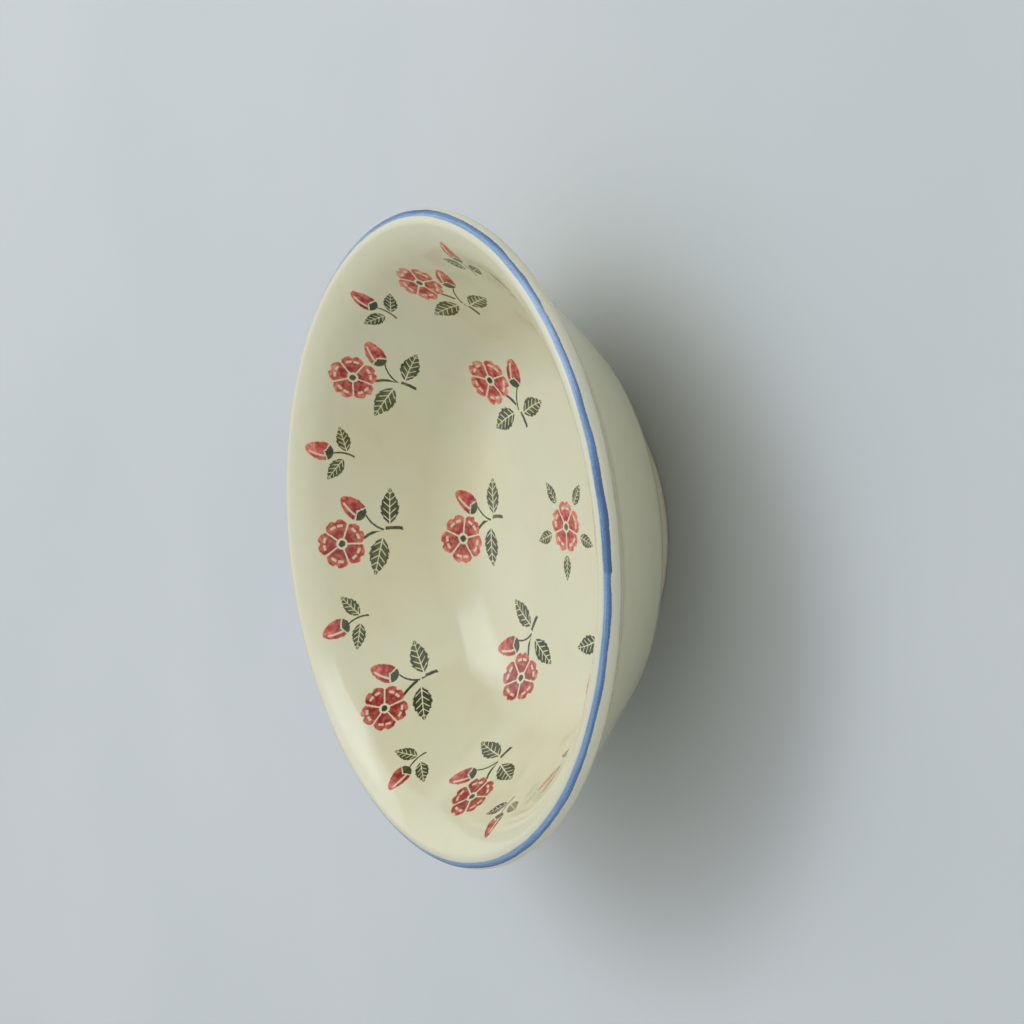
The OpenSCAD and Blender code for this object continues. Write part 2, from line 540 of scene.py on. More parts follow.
@dataclass(frozen=True)
class Unevenness:
    """The slight waviness of ware shaped on a wheel, inward only, so that it stays in the part.

    The shift is the least one plus, for each wave, half its depth times one plus the sine of the
    place along the wave, and it fades to nothing at the foot.

    Attributes:
        least: Least shift.
        depth: Depth of each wave.
        lengths: Lengths of the waves.
        foot: Heights between which the shift grows from nothing to its full size.
        seed: Seed of the waves' directions and phases.
    """

    least: float = 0.02 * MM
    depth: float = 0.022 * MM
    lengths: tuple[float, ...] = (61 * MM, 47 * MM, 38 * MM, 83 * MM)
    foot: tuple[float, float] = (1.5 * MM, 8 * MM)
    seed: int = 5

    def apply(self, at: np.ndarray, out: np.ndarray) -> tuple[np.ndarray, np.ndarray]:
        """Shifts places inward along their directions and tilts these by the slope of the shift.

        Args:
            at: Places, (rows, columns, 3).
            out: Directions out of the surface, of the same shape.

        Returns:
            The shifted places and the tilted directions.
        """
        dice = np.random.default_rng(self.seed)
        ways = dice.normal(size=(len(self.lengths), 3))
        ways = ways / np.linalg.norm(ways, axis=1, keepdims=True)
        waves = ways * (2 * np.pi / np.array(self.lengths))[:, None]
        phase = at @ waves.T + dice.uniform(0, 2 * np.pi, len(self.lengths))
        rise = np.clip((at[..., 2] - self.foot[0]) / (self.foot[1] - self.foot[0]), 0, 1)
        fade = rise**2 * (3 - 2 * rise)
        shift = fade * (self.least + self.depth / 2 * (1 + np.sin(phase)).sum(-1))
        slope = fade[..., None] * (self.depth / 2 * np.cos(phase) @ waves)
        slope -= (slope * out).sum(-1, keepdims=True) * out
        tilted = out + slope
        return at - shift[..., None] * out, tilted / np.linalg.norm(tilted, axis=-1, keepdims=True)


def carried(profile: np.ndarray, columns: int) -> np.ndarray:
    """Carries a profile round the axis: (r cos a, r sin a, z) for each row and each angle a.

    Args:
        profile: Places or directions in the plane of the section, (rows, 2).
        columns: Number of angles.

    Returns:
        The places or directions, (rows, columns, 3).
    """
    turn = np.arange(columns) * 2 * np.pi / columns
    around = np.stack([np.cos(turn), np.sin(turn)], -1)
    ring = profile[:, None, :1] * around[None]
    return np.concatenate([ring, np.repeat(profile[:, None, 1:], columns, 1)], -1)


@dataclass
class Turned:
    """A closed shape of revolution: rows of stations, each carried round the axis.

    The profile either starts and ends on the axis, where the rows close to a pole, or runs back to
    its first row. Faces run so that the profile's direction crossed with the turn points outwards.

    Attributes:
        at: Places in the profile, (rows, 2).
        out: Directions out of the shape, (rows, 2).
        station: For each row, the strip's station that it was made from.
        skin: For each row, whether it lies on the shape's visible skin.
        uneven: The waviness of the surface.
        row: For each corner of the mesh, its row.
        column: For each corner of the mesh, its column, which runs on to the number of columns.
    """

    at: np.ndarray
    out: np.ndarray
    station: np.ndarray
    skin: np.ndarray
    uneven: Unevenness
    row: np.ndarray = field(init=False)
    column: np.ndarray = field(init=False)

    @classmethod
    def coat(cls, strip: Strip, thickness: float, uneven: Unevenness) -> "Turned":
        """A coat on a strip: its skin, which is the clay's place plus the thickness, and back.

        Args:
            strip: The stretch of the section under the coat.
            thickness: Thickness of the coat.
            uneven: The waviness of the surface.

        Returns:
            The coat. Its profile starts on the axis if the strip touches it.
        """
        count = len(strip.bend)
        at = np.concatenate([strip.at + thickness * strip.out, strip.at[::-1]])
        out = np.concatenate([strip.out, -strip.out[::-1]])
        station = np.concatenate([np.arange(count), np.arange(count)[::-1]])
        skin = np.arange(2 * count) < count
        start = count if strip.at[-1, 0] < ON_AXIS else 0
        return cls(*(np.roll(values, -start, 0) for values in (at, out, station, skin)), uneven)

    @property
    def angle(self) -> np.ndarray:
        """Angle of each corner of the mesh about the axis, in radians."""
        return self.column * (2 * np.pi / COLUMNS)

    def mesh(self, name: str) -> bpy.types.Mesh:
        """Makes the mesh: every station of the profile, carried round the axis.

        Args:
            name: The mesh's name.

        Returns:
            The mesh, with a corner's row and column kept in self.row and self.column.
        """
        rows, poles = len(self.at), bool(self.at[0, 0] < ON_AXIS)
        at, out = self.uneven.apply(carried(self.at, COLUMNS), carried(self.out, COLUMNS))
        sides = self._lay_corners(poles)
        ring = np.arange(rows * COLUMNS).reshape(rows, COLUMNS)
        if poles:
            ring = np.clip(ring - COLUMNS + 1, 0, (rows - 2) * COLUMNS + 1)
        corners = ring[self.row, self.column % COLUMNS]
        places = np.zeros((int(ring.max()) + 1, 3))
        places[ring] = at
        mesh = bpy.data.meshes.new(name)
        mesh.vertices.add(len(places))
        mesh.vertices.foreach_set("co", places.ravel())
        mesh.loops.add(len(corners))
        mesh.loops.foreach_set("vertex_index", corners)
        mesh.polygons.add(len(sides))
        mesh.polygons.foreach_set("loop_start", np.concatenate([[0], np.cumsum(sides)[:-1]]))
        mesh.update(calc_edges=True)
        mesh.validate()
        mesh.set_sharp_from_angle(angle=math.radians(SHARP))
        self._shade(mesh, out)
        return mesh

    def _lay_corners(self, poles: bool) -> np.ndarray:
        """Works out each corner's row and column, with four corners to a face or three at a pole.

        Args:
            poles: Whether the profile starts and ends on the axis.

        Returns:
            Number of corners of each face.
        """
        rows = len(self.at)
        upper = np.arange(rows - 1 if poles else rows)
        i, j = (v.ravel() for v in np.meshgrid(upper, np.arange(COLUMNS), indexing="ij"))
        row = np.stack([i, i + 1, i + 1, i], 1)
        column = np.stack([j, j, j + 1, j + 1], 1)
        keep = np.ones_like(row, bool)
        if poles:
            keep[i == 0, 3] = False
            keep[i == rows - 2, 2] = False
        self.row, self.column = row[keep] % rows, column[keep]
        return keep.sum(1)

    @staticmethod
    def faces(mesh: bpy.types.Mesh) -> tuple[np.ndarray, np.ndarray]:
        """Where the faces of a mesh lie among its corners.

        Args:
            mesh: The mesh.

        Returns:
            First corner and number of corners of each face.
        """
        start, sides = (np.zeros(len(mesh.polygons), np.int32) for _ in range(2))
        mesh.polygons.foreach_get("loop_start", start)
        mesh.polygons.foreach_get("loop_total", sides)
        return start, sides

    def on_skin(self, mesh: bpy.types.Mesh) -> np.ndarray:
        """Whether each corner of the mesh belongs to a face that lies on the skin."""
        start, sides = self.faces(mesh)
        return np.repeat(np.minimum.reduceat(self.skin[self.row], start), sides)

    def lay_flat(self, mesh: bpy.types.Mesh, run: np.ndarray) -> None:
        """Gives the mesh a flat map: its skin as a large disc and its hidden side as a small one.

        A corner's distance from its disc's middle is its share of the run, so the skin keeps its
        scale along the section. The narrow faces that join both sides lie as a ring round the
        small disc, which is in a corner of the map.

        Args:
            mesh: The coat's mesh.
            run: Length along the skin from the axis to each station.
        """
        ring = FLAT_SMALL * FLAT_RING
        share = (run / run[-1])[self.station[self.row]]
        seen = self.on_skin(mesh)
        joint = self.skin[self.row] & ~seen
        far = np.where(seen, FLAT_LARGE, np.where(joint, ring, FLAT_SMALL)) * share
        middle = np.where(seen, FLAT_MIDDLE, ring + FLAT_GAP)
        around = np.stack([np.cos(self.angle), np.sin(self.angle)], -1)
        flat = middle[:, None] + far[:, None] * around
        layer = mesh.uv_layers.new(name=FLAT_MAP)
        layer.uv.foreach_set("vector", flat.astype(np.float32).ravel())

    def _shade(self, mesh: bpy.types.Mesh, out: np.ndarray) -> None:
        """Gives the skin's corners the surface's own directions, so that coats meet without a line.

        Args:
            mesh: The mesh to shade.
            out: Directions out of the surface, (rows, columns, 3).
        """
        ways = np.zeros(len(mesh.loops) * 3, np.float32)
        mesh.corner_normals.foreach_get("vector", ways)
        ways = ways.reshape(-1, 3)
        smooth = self.on_skin(mesh)
        ways[smooth] = out[self.row[smooth], self.column[smooth] % COLUMNS]
        mesh.normals_split_custom_set(ways)


def set_values(mesh: bpy.types.Mesh, name: str, values: np.ndarray) -> None:
    """Stores a number for each corner of a mesh, or three of them, for its shader to read.

    Args:
        mesh: The mesh.
        name: The attribute's name.
        values: One row for each corner, (corners,) or (corners, 3).
    """
    kind, key = ("FLOAT", "value") if values.ndim == 1 else ("FLOAT_VECTOR", "vector")
    layer = mesh.attributes.new(name, kind, "CORNER")
    layer.data.foreach_set(key, np.ascontiguousarray(values, np.float32).ravel())


def put(name: str, data: bpy.types.ID) -> bpy.types.Object:
    """Puts a mesh, a lamp or a camera into the scene.

    Args:
        name: The object's name.
        data: The mesh, the lamp or the camera.

    Returns:
        The object.
    """
    thing = bpy.data.objects.new(name, data)
    bpy.context.scene.collection.objects.link(thing)
    return thing


def place_piece(
    mesh: bpy.types.Mesh, node: str, material: bpy.types.Material
) -> None:
    """Puts a piece into the scene in place of its node.

    Args:
        mesh: The piece's mesh, in the part's own frame.
        node: Name of the node that it stands for, which the piece is named after.
        material: The piece's finish.
    """
    mesh.materials.append(material)
    piece = put(f"{node}_piece", mesh)
    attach(piece, BODY)
    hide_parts(node)
    log.info("%s: %d faces", piece.name, len(mesh.polygons))


# ---------------------------------------------------------------------------
# Shader formulas
# ---------------------------------------------------------------------------


class Wire:
    """A value that flows through a shader tree, so that formulas can be written as formulas."""

    def __init__(self, tree: "NodeTree", socket: bpy.types.NodeSocket) -> None:
        """Wraps the socket that the value comes out of."""
        self.tree, self.socket = tree, socket

    def math(self, operation: str, *others: "Wire | float") -> "Wire":
        """Result of one of the Math node's operations.

        Args:
            operation: The operation's name in Blender.
            *others: The values after this one.

        Returns:
            The result.
        """
        node = self.tree.nodes.new("ShaderNodeMath")
        node.operation = operation
        self.tree.feed(node.inputs[0], self)
        for socket, value in zip(node.inputs[1:], others):
            self.tree.feed(socket, value)
        return Wire(self.tree, node.outputs[0])

    def __add__(self, other: "Wire | float") -> "Wire":
        """Sum."""
        return self.math("ADD", other)

    def __sub__(self, other: "Wire | float") -> "Wire":
        """Difference."""
        return self.math("SUBTRACT", other)

    def __mul__(self, other: "Wire | float") -> "Wire":
        """Product."""
        return self.math("MULTIPLY", other)

    def __truediv__(self, other: "Wire | float") -> "Wire":
        """Quotient."""
        return self.math("DIVIDE", other)

    def __pow__(self, other: "Wire | float") -> "Wire":
        """Power."""
        return self.math("POWER", other)

    def __abs__(self) -> "Wire":
        """Size without sign."""
        return self.math("ABSOLUTE")

    def least(self, other: "Wire | float") -> "Wire":
        """The smaller of two values."""
        return self.math("MINIMUM", other)

    def most(self, other: "Wire | float") -> "Wire":
        """The larger of two values."""
        return self.math("MAXIMUM", other)

    def flipped(self) -> "Wire":
        """One minus the value."""
        return self * -1 + 1

    def soft(self, low: float, high: float) -> "Wire":
        """Smooth step from 0 at low to 1 at high; low may be the larger.

        Args:
            low: Value at which the result is 0.
            high: Value at which the result is 1.

        Returns:
            The step.
        """
        node = self.tree.nodes.new("ShaderNodeMapRange")
        node.interpolation_type = "SMOOTHSTEP"
        falling = high < low
        for socket, value in zip(node.inputs[:3], (self, min(low, high), max(low, high))):
            self.tree.feed(socket, value)
        step = Wire(self.tree, node.outputs[0])
        return step.flipped() if falling else step


class NodeTree:
    """A tree of shader nodes that values flow through."""

    def __init__(self, tree: bpy.types.NodeTree) -> None:
        """Takes over the nodes and links of a tree."""
        self.nodes, self.links = tree.nodes, tree.links

    def feed(self, socket: bpy.types.NodeSocket, value: "Wire | float | Colour") -> None:
        """Links a wire to a socket, or sets the socket to a fixed value.

        Args:
            socket: The socket.
            value: The wire or the value.
        """
        if isinstance(value, Wire):
            self.links.new(value.socket, socket)
        else:
            socket.default_value = value

    def split(self, vector: Wire) -> tuple[Wire, Wire, Wire]:
        """Takes a vector apart.

        Args:
            vector: The vector.

        Returns:
            Its three parts.
        """
        node = self.nodes.new("ShaderNodeSeparateXYZ")
        self.feed(node.inputs[0], vector)
        return tuple(Wire(self, out) for out in node.outputs)


class ShaderTree(NodeTree):
    """A material's node tree with one Principled shader, and the nodes that finishes use."""

    def __init__(self, name: str) -> None:
        """Makes an empty material with its shader and its output.

        Args:
            name: The material's name.
        """
        self.material = bpy.data.materials.new(name)
        self.material.use_nodes = True
        super().__init__(self.material.node_tree)
        self.nodes.clear()
        self.shader = self.nodes.new("ShaderNodeBsdfPrincipled")
        output = self.nodes.new("ShaderNodeOutputMaterial")
        self.links.new(self.shader.outputs[0], output.inputs[0])
        self.place = Wire(self, self.nodes.new("ShaderNodeTexCoord").outputs["Object"])

    def _attribute(self, name: str, output: str) -> Wire:
        """A value that is stored on the mesh.

        Args:
            name: The attribute's name.
            output: The Attribute node's output that gives it.

        Returns:
            The value.
        """
        node = self.nodes.new("ShaderNodeAttribute")
        node.attribute_name = name
        return Wire(self, node.outputs[output])

    def stored(self, name: str) -> Wire:
        """A number that is stored on the mesh."""
        return self._attribute(name, "Fac")

    def stored_three(self, name: str) -> tuple[Wire, Wire, Wire]:
        """Three numbers that are stored on the mesh under one name."""
        return self.split(self._attribute(name, "Vector"))

    def bound(self, x: Wire, y: Wire, z: Wire) -> Wire:
        """A vector of three values.

        Args:
            x: The first value.
            y: The second value.
            z: The third value.

        Returns:
            The vector.
        """
        node = self.nodes.new("ShaderNodeCombineXYZ")
        for socket, value in zip(node.inputs, (x, y, z)):
            self.feed(socket, value)
        return Wire(self, node.outputs[0])

    def noise(self, size: float, detail: float = 2.0, at: Wire | None = None) -> Wire:
        """Cloudy noise, 0 to 1 with its middle at 0.5.

        Args:
            size: Length of its features.
            detail: Number of finer layers in it.
            at: Place that it is read at; the piece's own when left out.

        Returns:
            The noise.
        """
        node = self.nodes.new("ShaderNodeTexNoise")
        self.feed(node.inputs["Vector"], at or self.place)
        node.inputs["Scale"].default_value = 1 / size
        node.inputs["Detail"].default_value = detail
        return Wire(self, node.outputs[0])

    def cells(self, size: float) -> tuple[Wire, Wire]:
        """Scattered points, one to a cell.

        Args:
            size: Width of a cell.

        Returns:
            Distance to the nearest point in cell widths, and a number from 0 to 1 that is its own.
        """
        node = self.nodes.new("ShaderNodeTexVoronoi")
        self.feed(node.inputs["Vector"], self.place)
        node.inputs["Scale"].default_value = 1 / size
        own = self.split(Wire(self, node.outputs["Color"]))[0]
        return Wire(self, node.outputs["Distance"]), own

    def mix(self, first: "Wire | Colour", second: "Wire | Colour", share: Wire) -> Wire:
        """Blend of two colours.

        Args:
            first: Colour where the share is 0.
            second: Colour where the share is 1.
            share: Share of the second colour.

        Returns:
            The blend.
        """
        node = self.nodes.new("ShaderNodeMix")
        node.data_type = "RGBA"
        node.clamp_factor = True
        self.feed(node.inputs[0], share)
        self.feed(node.inputs[MIX_FIRST], first)
        self.feed(node.inputs[MIX_SECOND], second)
        return Wire(self, node.outputs[MIX_RESULT])

    def bump(self, height: Wire, depth: float, strength: float = 1.0) -> None:
        """Lets the shader's normal follow a height.

        Args:
            height: The height, 0 to 1.
            depth: Depth of the relief from 0 to 1.
            strength: Share of the effect.
        """
        node = self.nodes.new("ShaderNodeBump")
        node.inputs["Strength"].default_value = strength
        node.inputs["Distance"].default_value = depth
        self.feed(node.inputs["Height"], height)
        self.links.new(node.outputs[0], self.shader.inputs["Normal"])

    def dress(self, colour: Wire, roughness: Wire | float, ior: float = 1.5) -> None:
        """Feeds the shader.

        Args:
            colour: Base colour.
            roughness: Roughness.
            ior: Index of refraction.
        """
        self.feed(self.shader.inputs["Base Color"], colour)
        self.feed(self.shader.inputs["Roughness"], roughness)
        self.shader.inputs["IOR"].default_value = ior


# ---------------------------------------------------------------------------
# Finishes
# ---------------------------------------------------------------------------


@dataclass(frozen=True)
class CreamGlaze:
    """Clear gloss over cream slip, with drifting tone, fine grain, iron specks, pooling and
    thinning, and painted shade in hollows and a painted highlight on edges.

    Attributes:
        cream: Colour of most of the glaze.
        warm: Colour of its warmer drifts.
        cool: Colour of its cooler drifts.
        pooled_and_shade: Colour where it gathers, also used as painted shade in creases and
            hollows.
        thinned_and_highlight: Colour where it thins over an edge, also used as a painted highlight
            on convex edges.
        speck: Colour of the specks.
        drift_size: Length of the drifts.
        mottle_size: Length of the soft mottling.
        grain_size: Length of the fine grain.
        speck_cell: Width of the cells that hold one speck at most.
        haze_size: Length of the hazy places.
        peel_sizes: Lengths of the orange peel's coarse and fine dimples.
        peel_depth: Depth of the orange peel.
        roughness: Roughness where there is no haze.
        ior: Index of refraction.
    """

    cream: Colour = srgb(227, 223, 189)
    warm: Colour = srgb(226, 218, 177)
    cool: Colour = srgb(225, 225, 196)
    pooled_and_shade: Colour = srgb(205, 199, 156)
    thinned_and_highlight: Colour = srgb(230, 226, 200)
    speck: Colour = srgb(120, 96, 62)
    drift_size: float = 38 * MM
    mottle_size: float = 6 * MM
    grain_size: float = 0.45 * MM
    speck_cell: float = 9 * MM
    haze_size: float = 17 * MM
    peel_sizes: tuple[float, float] = (2.6 * MM, 0.7 * MM)
    peel_depth: float = 0.012 * MM
    roughness: float = 0.05
    ior: float = 1.5

    def colour(self, tree: ShaderTree) -> Wire:
        """Cream that drifts between warm and cool, deepens where glaze pools and pales where it
        thins on edges, which also paints shade into hollows and a highlight onto edges.

        Args:
            tree: The material's tree.

        Returns:
            The colour.
        """
        drift = tree.noise(self.drift_size, 3.0)
        base = tree.mix(self.cream, self.warm, drift.soft(0.52, 0.78) * 0.7)
        base = tree.mix(base, self.cool, drift.soft(0.48, 0.24) * 0.7)
        mottle = tree.noise(self.mottle_size, 2.0).soft(0.5, 0.85)
        base = tree.mix(base, self.pooled_and_shade, mottle * 0.16)
        grain = tree.noise(self.grain_size, 1.0).soft(0.52, 0.8)
        base = tree.mix(base, self.pooled_and_shade, grain * 0.10)
        # Painted shade: darker in creases and hollows, together with the pooled glaze.
        base = tree.mix(base, self.pooled_and_shade, tree.stored("pool_and_shade") * 0.8)
        # Painted highlight: paler on convex edges, together with the thinned glaze.
        base = tree.mix(base, self.thinned_and_highlight, tree.stored("thin_and_highlight") * 0.7)
        apart, own = tree.cells(self.speck_cell)
        dot = (apart - own * 0.016).soft(0.010, 0.002) * own.soft(0.62, 0.66)
        return tree.mix(base, self.speck, dot * 0.75)

    def finish(self, tree: ShaderTree, colour: Wire) -> bpy.types.Material:
        """Gloss with a slight orange peel and faint haze, over a colour.

        Args:
            tree: The material's tree.
            colour: The colour under the gloss.

        Returns:
            The material.
        """
        haze = tree.noise(self.haze_size, 3.0)
        tree.dress(colour, haze.soft(0.3, 0.9) * 0.05 + self.roughness, self.ior)
        coarse, fine = self.peel_sizes
        peel = tree.noise(coarse, 1.0) * 0.75 + tree.noise(fine, 1.0) * 0.25
        tree.bump(peel, self.peel_depth)
        return tree.material

    def material(self, name: str) -> bpy.types.Material:
        """The plain glaze as a material."""
        tree = ShaderTree(name)
        return self.finish(tree, self.colour(tree))


@dataclass(frozen=True)
class BandPaint:
    """Blue brushed round the lip under the glaze, streaky and uneven at its edges, with painted
    light on the crest's side and painted shade outside.

    Attributes:
        light: Blue where little colour lies, also used as painted light on the crest's side.
        middle: Blue over most of the band.
        deep: Blue where the colour gathers, also used as painted shade on the outer side.
        inner_edge: Where the blue starts, as a share of the strip's width.
        outer_edge: Where the blue ends, as a share of the strip's width.
        brush_meet: Angle at which the end of the brush stroke overlaps its start.
        overlap: Angle over which it overlaps.
        sway_size: Length over which both edges sway together.
        wander_size: Length over which they wander.
        ragged_size: Length of their raggedness.
        grain_size: Length of the grain in the blue.
        streaks_round: Number of streaks over one radian round the lip.
        streaks_across: Number of streaks over the strip's width.
    """

    light: Colour = srgb(140, 176, 212)
    middle: Colour = srgb(90, 132, 182)
    deep: Colour = srgb(54, 88, 138)
    inner_edge: float = 0.115
    outer_edge: float = 0.70
    brush_meet: float = -98.0
    overlap: float = 24.0
    sway_size: float = 46 * MM
    wander_size: float = 11 * MM
    ragged_size: float = 1.1 * MM
    grain_size: float = 0.5 * MM
    streaks_round: float = 7.0
    streaks_across: float = 9.0

    def colour(self, tree: ShaderTree, cream: Wire) -> Wire:
        """Blue between two wandering edges, with painted light on the crest's side and painted
        shade outside, over the cream.

        Args:
            tree: The material's tree.
            cream: The glaze's own colour.

        Returns:
            The colour.
        """
        across = tree.stored("across")
        x, y, _ = tree.split(tree.place)
        far = (x * x + y * y) ** 0.5
        round_x, round_y = x / far * self.streaks_round, y / far * self.streaks_round
        brush = tree.bound(round_x, round_y, across * self.streaks_across)
        past = (y.math("ARCTAN2", x) - math.radians(self.brush_meet)) / math.radians(self.overlap)
        twice = past.soft(0.0, 0.04) * past.soft(1.0, 0.55)
        sway = tree.noise(self.sway_size, 1.0) - 0.5
        wander = tree.noise(self.wander_size, 2.0) - 0.5
        ragged = tree.noise(self.ragged_size, 2.0) - 0.5
        start = across - self.inner_edge + sway * 0.16 + wander * 0.10 + ragged * 0.05
        end = across - self.outer_edge + sway * 0.22 + wander * 0.26 + ragged * 0.07 - twice * 0.09
        painted = start.soft(-0.02, 0.06) * end.soft(0.03, -0.03)
        streak = tree.noise(1.0, 3.0, brush) - 0.5
        grain = tree.noise(self.grain_size, 2.0) - 0.5
        # Painted light and shade: the blue grows lighter towards the crest and deeper outside; the
        # streaks, wander, grain and brush overlap are the paint's own.
        fill_and_shade = across.soft(0.22, 0.72) * 0.7 + streak * 0.9 + wander * 0.4
        fill_and_shade = fill_and_shade + grain * 0.5 + twice * 0.3
        blue = tree.mix(self.light, self.middle, fill_and_shade.soft(-0.08, 0.42))
        blue = tree.mix(blue, self.deep, fill_and_shade.soft(0.30, 0.95))
        return tree.mix(cream, blue, painted * 0.97)


@dataclass(frozen=True)
class BareClay:
    """Unglazed fired clay: matt, buff, grainy and a little greyed where it stands.

    Attributes:
        buff: Colour of most of the clay.
        sandy: Colour of its grain and of its darker places.
        worn: Colour where it is rubbed.
        grain_size: Length of the grain.
        grain_depth: Depth of the grain.
        patch_size: Length of the darker places.
        rub_size: Length of the rubbed places.
        rub_height: Height up to which the clay is rubbed.
        roughness: Least roughness.
    """

    buff: Colour = srgb(224, 214, 190)
    sandy: Colour = srgb(206, 192, 164)
    worn: Colour = srgb(150, 144, 132)
    grain_size: float = 0.35 * MM
    grain_depth: float = 0.06 * MM
    patch_size: float = 9 * MM
    rub_size: float = 3 * MM
    rub_height: float = 0.35 * MM
    roughness: float = 0.72

    def material(self, name: str) -> bpy.types.Material:
        """The clay as a material.

        Args:
            name: The material's name.

        Returns:
            The material.
        """
        tree = ShaderTree(name)
        grain = tree.noise(self.grain_size, 3.0)
        colour = tree.mix(self.buff, self.sandy, grain.soft(0.42, 0.72) * 0.7)
        patches = tree.noise(self.patch_size, 2.0).soft(0.45, 0.8)
        colour = tree.mix(colour, self.sandy, patches * 0.5)
        low = tree.split(tree.place)[2].soft(self.rub_height, 0.0)
        rubbed = low * tree.noise(self.rub_size, 3.0).soft(0.35, 0.6)
        colour = tree.mix(colour, self.worn, rubbed * 0.55)
        tree.dress(colour, grain * 0.15 + self.roughness)
        tree.bump(grain, self.grain_depth, 0.7)
        return tree.material


@dataclass(frozen=True)
class Ink:
    """A printed colour that lies unevenly, as a sponge or stamp leaves it.

    Attributes:
        pale: Colour where little ink was laid.
        full: Colour of most of the mark.
        deep: Colour where much ink was laid.
    """

    pale: Colour
    full: Colour
    deep: Colour

    def colour(self, tree: ShaderTree, load: Wire) -> Wire:
        """The ink's colour for how much of it was laid, 0 to 1.

        Args:
            tree: The material's tree.
            load: Amount of ink.

        Returns:
            The colour.
        """
        laid = tree.mix(self.pale, self.full, load.soft(0.0, 0.55))
        return tree.mix(laid, self.deep, load.soft(0.45, 1.0))


